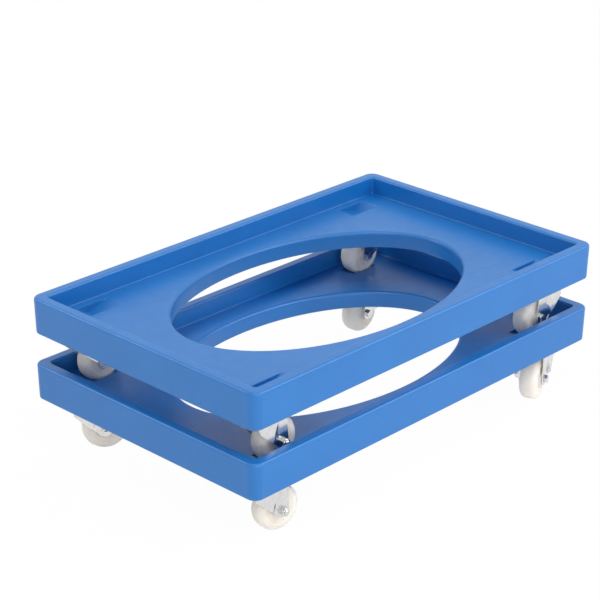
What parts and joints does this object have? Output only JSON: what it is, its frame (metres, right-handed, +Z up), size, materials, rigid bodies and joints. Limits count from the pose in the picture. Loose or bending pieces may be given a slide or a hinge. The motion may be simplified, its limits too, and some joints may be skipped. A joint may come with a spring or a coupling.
{
  "type": "stacking dolly",
  "caption": "Stacked blue moulded dollies: rimmed trays with an oval opening on nylon swivel castors, the upper one parked with its wheels in pockets of the lower deck.",
  "frame": {"origin": "on the floor under the centre of the trays", "axes": "+X along the long side, +Y along the short side, +Z up"},
  "size_m": [0.8098, 0.5048, 0.272],
  "materials": {
    "tray_plastic": "satin moulded polyethylene",
    "wheel_nylon": "satin natural nylon",
    "zinc_steel": "bright zinc plated",
    "insert_brass": "turned",
    "ring_nylon": "black nylon"
  },
  "bodies": {
    "lower_dolly": {"lower_tray": "tray_plastic", "lower_threaded_inserts": "insert_brass", "lower_plate_screws": "zinc_steel", "lower_kingpins": "zinc_steel", "lower_thrust_rings": "ring_nylon", "lower_front_left_plate": "zinc_steel", "lower_front_right_plate": "zinc_steel", "lower_back_right_plate": "zinc_steel", "lower_back_left_plate": "zinc_steel"},
    "lower_front_left_castor": {"lower_front_left_fork": "zinc_steel", "lower_front_left_bush": "zinc_steel", "lower_front_left_bolt": "zinc_steel", "lower_front_left_nut": "zinc_steel"},
    "lower_front_left_roller": {"lower_front_left_wheel": "wheel_nylon"},
    "lower_front_right_castor": {"lower_front_right_fork": "zinc_steel", "lower_front_right_bush": "zinc_steel", "lower_front_right_bolt": "zinc_steel", "lower_front_right_nut": "zinc_steel"},
    "lower_front_right_roller": {"lower_front_right_wheel": "wheel_nylon"},
    "lower_back_right_castor": {"lower_back_right_fork": "zinc_steel", "lower_back_right_bush": "zinc_steel", "lower_back_right_bolt": "zinc_steel", "lower_back_right_nut": "zinc_steel"},
    "lower_back_right_roller": {"lower_back_right_wheel": "wheel_nylon"},
    "lower_back_left_castor": {"lower_back_left_fork": "zinc_steel", "lower_back_left_bush": "zinc_steel", "lower_back_left_bolt": "zinc_steel", "lower_back_left_nut": "zinc_steel"},
    "lower_back_left_roller": {"lower_back_left_wheel": "wheel_nylon"},
    "upper_dolly": {"upper_tray": "tray_plastic", "upper_threaded_inserts": "insert_brass", "upper_plate_screws": "zinc_steel", "upper_kingpins": "zinc_steel", "upper_thrust_rings": "ring_nylon", "upper_front_left_plate": "zinc_steel", "upper_front_right_plate": "zinc_steel", "upper_back_right_plate": "zinc_steel", "upper_back_left_plate": "zinc_steel"},
    "upper_front_left_castor": {"upper_front_left_fork": "zinc_steel", "upper_front_left_bush": "zinc_steel", "upper_front_left_bolt": "zinc_steel", "upper_front_left_nut": "zinc_steel"},
    "upper_front_left_roller": {"upper_front_left_wheel": "wheel_nylon"},
    "upper_front_right_castor": {"upper_front_right_fork": "zinc_steel", "upper_front_right_bush": "zinc_steel", "upper_front_right_bolt": "zinc_steel", "upper_front_right_nut": "zinc_steel"},
    "upper_front_right_roller": {"upper_front_right_wheel": "wheel_nylon"},
    "upper_back_right_castor": {"upper_back_right_fork": "zinc_steel", "upper_back_right_bush": "zinc_steel", "upper_back_right_bolt": "zinc_steel", "upper_back_right_nut": "zinc_steel"},
    "upper_back_right_roller": {"upper_back_right_wheel": "wheel_nylon"},
    "upper_back_left_castor": {"upper_back_left_fork": "zinc_steel", "upper_back_left_bush": "zinc_steel", "upper_back_left_bolt": "zinc_steel", "upper_back_left_nut": "zinc_steel"},
    "upper_back_left_roller": {"upper_back_left_wheel": "wheel_nylon"}
  },
  "joints": [
    {"name": "lower_front_left_swivel", "type": "hinge", "parent": "lower_dolly", "child": "lower_front_left_castor", "pos_m": [-0.33685, -0.198, 0.087], "axis": [0, 0, 1], "continuous": true},
    {"name": "lower_front_left_roll", "type": "hinge", "parent": "lower_front_left_castor", "child": "lower_front_left_roller", "pos_m": [-0.31309, -0.20134, 0.0375], "axis": [-0.1392, -0.9903, 0], "continuous": true},
    {"name": "lower_front_right_swivel", "type": "hinge", "parent": "lower_dolly", "child": "lower_front_right_castor", "pos_m": [0.33685, -0.198, 0.087], "axis": [0, 0, 1], "continuous": true},
    {"name": "lower_front_right_roll", "type": "hinge", "parent": "lower_front_right_castor", "child": "lower_front_right_roller", "pos_m": [0.3146, -0.20699, 0.0375], "axis": [-0.3746, 0.9272, 0], "continuous": true},
    {"name": "lower_back_right_swivel", "type": "hinge", "parent": "lower_dolly", "child": "lower_back_right_castor", "pos_m": [0.33685, 0.198, 0.087], "axis": [0, 0, 1], "continuous": true},
    {"name": "lower_back_right_roll", "type": "hinge", "parent": "lower_back_right_castor", "child": "lower_back_right_roller", "pos_m": [0.31294, 0.19591, 0.0375], "axis": [-0.0872, 0.9962, 0], "continuous": true},
    {"name": "lower_back_left_swivel", "type": "hinge", "parent": "lower_dolly", "child": "lower_back_left_castor", "pos_m": [-0.33685, 0.198, 0.087], "axis": [0, 0, 1], "continuous": true},
    {"name": "lower_back_left_roll", "type": "hinge", "parent": "lower_back_left_castor", "child": "lower_back_left_roller", "pos_m": [-0.31794, 0.18322, 0.0375], "axis": [-0.6157, -0.788, 0], "continuous": true},
    {"name": "upper_lift", "type": "slide", "parent": "lower_dolly", "child": "upper_dolly", "axis": [0, 0, 1], "range_m": [0, 0.12]},
    {"name": "upper_front_left_swivel", "type": "hinge", "parent": "upper_dolly", "child": "upper_front_left_castor", "pos_m": [-0.33685, -0.198, 0.20204], "axis": [0, 0, 1], "range_deg": [-2.5, 2.5]},
    {"name": "upper_front_left_roll", "type": "hinge", "parent": "upper_front_left_castor", "child": "upper_front_left_roller", "pos_m": [-0.31285, -0.198, 0.15254], "axis": [0, -1, 0], "continuous": true},
    {"name": "upper_front_right_swivel", "type": "hinge", "parent": "upper_dolly", "child": "upper_front_right_castor", "pos_m": [0.33685, -0.198, 0.20204], "axis": [0, 0, 1], "range_deg": [-2.5, 2.5]},
    {"name": "upper_front_right_roll", "type": "hinge", "parent": "upper_front_right_castor", "child": "upper_front_right_roller", "pos_m": [0.31285, -0.198, 0.15254], "axis": [0, 1, 0], "continuous": true},
    {"name": "upper_back_right_swivel", "type": "hinge", "parent": "upper_dolly", "child": "upper_back_right_castor", "pos_m": [0.33685, 0.198, 0.20204], "axis": [0, 0, 1], "range_deg": [-2.5, 2.5]},
    {"name": "upper_back_right_roll", "type": "hinge", "parent": "upper_back_right_castor", "child": "upper_back_right_roller", "pos_m": [0.31285, 0.198, 0.15254], "axis": [0, 1, 0], "continuous": true},
    {"name": "upper_back_left_swivel", "type": "hinge", "parent": "upper_dolly", "child": "upper_back_left_castor", "pos_m": [-0.33685, 0.198, 0.20204], "axis": [0, 0, 1], "range_deg": [-2.5, 2.5]},
    {"name": "upper_back_left_roll", "type": "hinge", "parent": "upper_back_left_castor", "child": "upper_back_left_roller", "pos_m": [-0.31285, 0.198, 0.15254], "axis": [0, -1, 0], "continuous": true}
  ]
}
